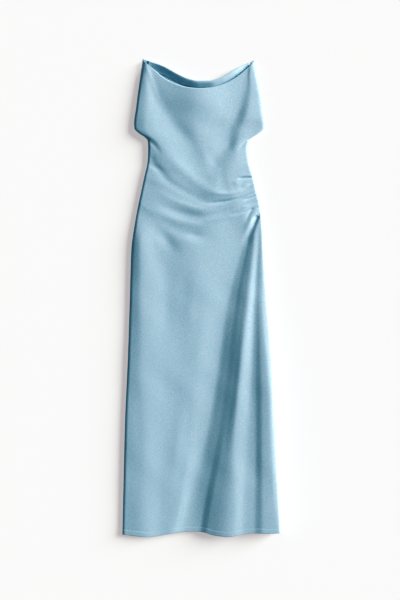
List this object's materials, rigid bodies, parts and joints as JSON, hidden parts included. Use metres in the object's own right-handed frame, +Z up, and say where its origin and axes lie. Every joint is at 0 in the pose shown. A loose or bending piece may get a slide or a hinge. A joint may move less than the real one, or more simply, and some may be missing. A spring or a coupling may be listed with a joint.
{
  "type": "draped boat-neck maxi dress",
  "caption": "Long pale blue knit dress with a wide sagging neckline, grown-on cap sleeves and side gathers, laid flat on its back",
  "frame": {"origin": "On the surface, in the middle of the dress's underside as seen from above", "axes": "+X towards the wearer's left side, which is the picture's right; +Y from hem to neck; +Z up from the surface, out of the front"},
  "size_m": [0.47, 1.42, 0.036],
  "materials": {
    "front_knit": "soft ribbed knit with a satin lustre and a fine metallic sparkle",
    "back_knit": "soft ribbed knit with a satin lustre and a fine metallic sparkle",
    "facing_knit": "inner side of the same knit, duller"
  },
  "bodies": {
    "root": {"front_panel": "front_knit", "back_panel": "back_knit", "back_neck_facing": "facing_knit"}
  },
  "joints": []
}
